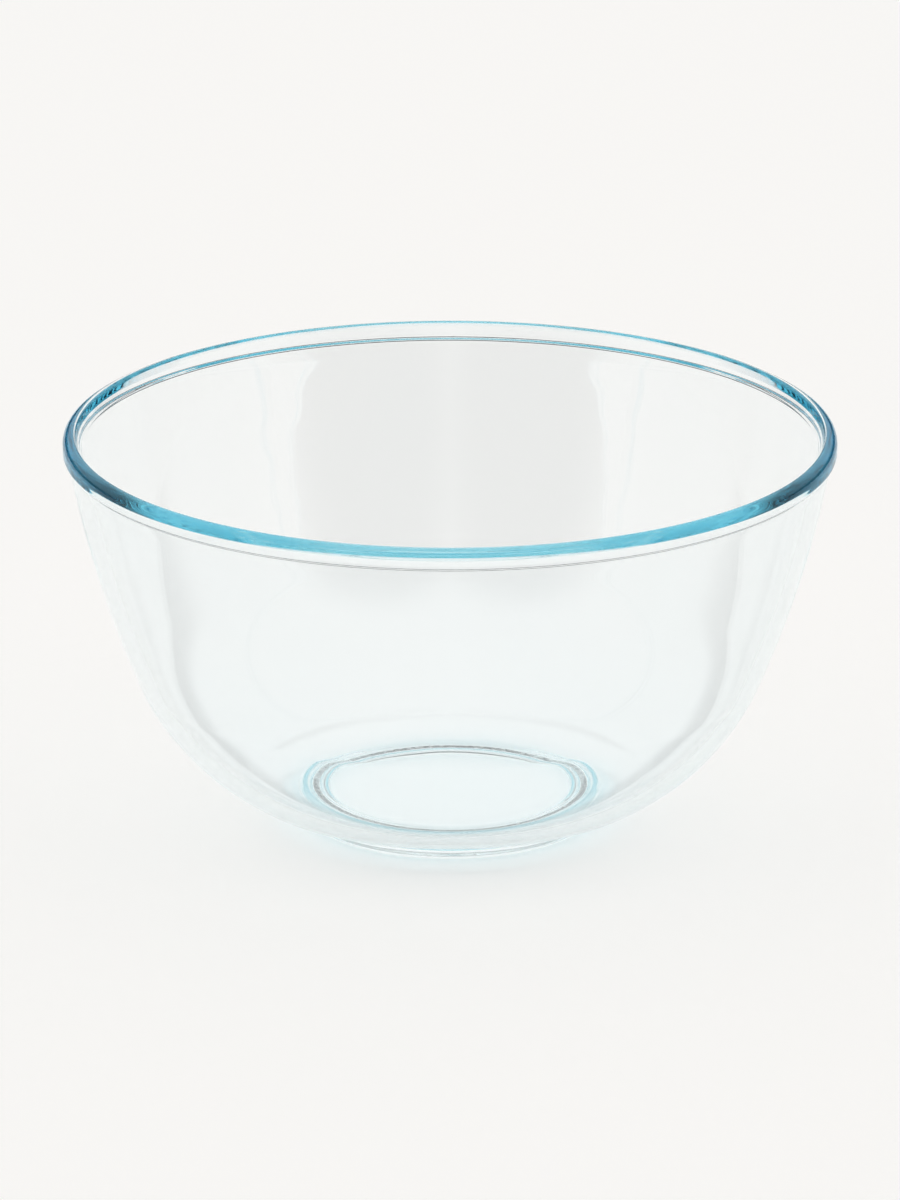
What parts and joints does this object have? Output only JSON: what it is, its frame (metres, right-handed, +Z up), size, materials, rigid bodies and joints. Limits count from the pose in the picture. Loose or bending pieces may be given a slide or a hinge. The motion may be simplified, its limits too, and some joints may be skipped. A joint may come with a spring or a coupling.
{
  "type": "mixing bowl",
  "caption": "Clear, faintly blue pressed-glass mixing bowl with a rounded rim bead, a flared inner lip, a wall that curves in towards the base, and a low foot ring.",
  "frame": {"origin": "centre of the circle that the foot ring stands on, on the table plane", "axes": "+Z up, along the bowl's axis of revolution, towards the rim; X and Y are any two level directions"},
  "size_m": [0.24, 0.24, 0.125],
  "materials": {
    "bowl_glass": "clear, polished"
  },
  "bodies": {
    "root": {"bowl": "bowl_glass"}
  },
  "joints": []
}
